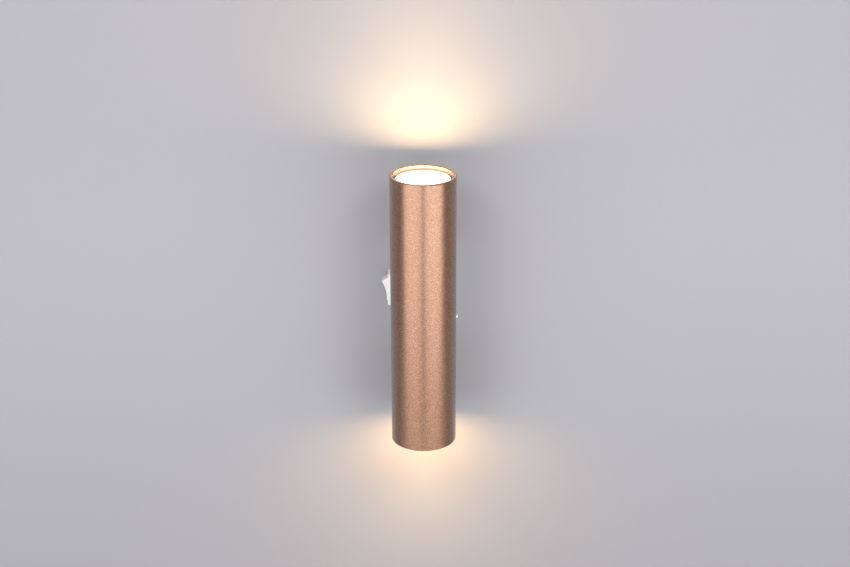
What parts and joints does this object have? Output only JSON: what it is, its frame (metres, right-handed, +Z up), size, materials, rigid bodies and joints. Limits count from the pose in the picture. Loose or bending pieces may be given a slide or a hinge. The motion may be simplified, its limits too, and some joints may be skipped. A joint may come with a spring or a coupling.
{
  "type": "tube wall light",
  "caption": "Upright cylindrical up-and-down wall light in metallic copper finish: open-ended tube with recessed twist-lock lamps on a slim wall box with a side rocker switch.",
  "frame": {"origin": "middle of the wall bracket's back face, on the wall", "axes": "+Z up along the tube, +Y into the wall, -Y the front, +X to the right seen from the front"},
  "size_m": [0.0717, 0.09, 0.26],
  "materials": {
    "copper_paint": "aluminium tube in fine metallic copper satin paint",
    "zinc_steel": "zinc-plated steel",
    "black_nylon": "moulded nylon",
    "white_paint": "cast aluminium in satin white paint",
    "white_screw": "white enamelled screw head",
    "black_rubber": "soft rubber",
    "switch_white": "moulded white plastic",
    "rocker_white": "moulded white plastic",
    "spring_steel": "spring wire",
    "brass": "pressed brass",
    "tinned_brass": "tinned brass",
    "block_nylon": "natural nylon",
    "lead_live": "brown lead sleeve",
    "lead_neutral": "blue lead sleeve",
    "lead_earth": "green and yellow lead sleeve",
    "holder_ceramic": "glazed ceramic",
    "lamp_shell": "white lamp shell",
    "lamp_lens": "frosted glowing front",
    "lamp_board": "white lamp board",
    "lamp_base": "white lamp base",
    "nickel_pins": "nickel-plated pins"
  },
  "bodies": {
    "fixture": {"tube_housing": "copper_paint", "lamp_bracket": "zinc_steel", "tube_screws": "zinc_steel", "tube_screw_washers": "zinc_steel", "wire_bush": "black_nylon", "bush_nut": "black_nylon", "lampholder_screws": "zinc_steel", "wall_box_cover": "white_paint", "cover_screw": "white_screw", "wall_bracket": "zinc_steel", "cable_grommet": "black_rubber", "switch_body": "switch_white", "switch_common_terminal": "brass", "switch_line_terminal": "brass", "terminal_block": "block_nylon", "terminal_barrels": "brass", "terminal_screws": "zinc_steel", "terminal_block_screw": "zinc_steel", "earth_tongues": "tinned_brass", "earth_screws": "zinc_steel", "switch_feed_lead": "lead_live", "switch_return_lead": "lead_live", "earth_lead": "lead_earth", "upper_live_lead": "lead_live", "lower_live_lead": "lead_live", "upper_neutral_lead": "lead_neutral", "lower_neutral_lead": "lead_neutral", "upper_lampholder": "holder_ceramic", "upper_holder_contacts": "brass", "lower_lampholder": "holder_ceramic", "lower_holder_contacts": "brass"},
    "rocker": {"switch_rocker": "rocker_white", "switch_plunger": "black_nylon", "switch_spring": "spring_steel"},
    "seesaw": {"switch_seesaw": "brass"},
    "upper_lamp": {"upper_lamp_shell": "lamp_shell", "upper_lamp_lens": "lamp_lens", "upper_lamp_board": "lamp_board", "upper_lamp_base": "lamp_base", "upper_lamp_pins": "nickel_pins"},
    "lower_lamp": {"lower_lamp_shell": "lamp_shell", "lower_lamp_lens": "lamp_lens", "lower_lamp_board": "lamp_board", "lower_lamp_base": "lamp_base", "lower_lamp_pins": "nickel_pins"}
  },
  "joints": [
    {"name": "rocker_press", "type": "hinge", "parent": "fixture", "child": "rocker", "pos_m": [-0.03, -0.013, 0.003], "axis": [0, 1, 0], "range_deg": [0, 28]},
    {"name": "seesaw_flip", "type": "hinge", "parent": "fixture", "child": "seesaw", "pos_m": [-0.0201, -0.013, 0.003], "axis": [0, 1, 0], "range_deg": [-16, 0]},
    {"name": "upper_lamp_twist", "type": "hinge", "parent": "fixture", "child": "upper_lamp", "pos_m": [0, -0.06, 0.07], "axis": [0, 0, 1], "range_deg": [0, 20]},
    {"name": "lower_lamp_twist", "type": "hinge", "parent": "fixture", "child": "lower_lamp", "pos_m": [0, -0.06, -0.07], "axis": [0, 0, -1], "range_deg": [0, 20]}
  ],
  "couplings": [
    {"joint": "seesaw_flip", "follows": "rocker_press", "ratio": -0.5714}
  ]
}
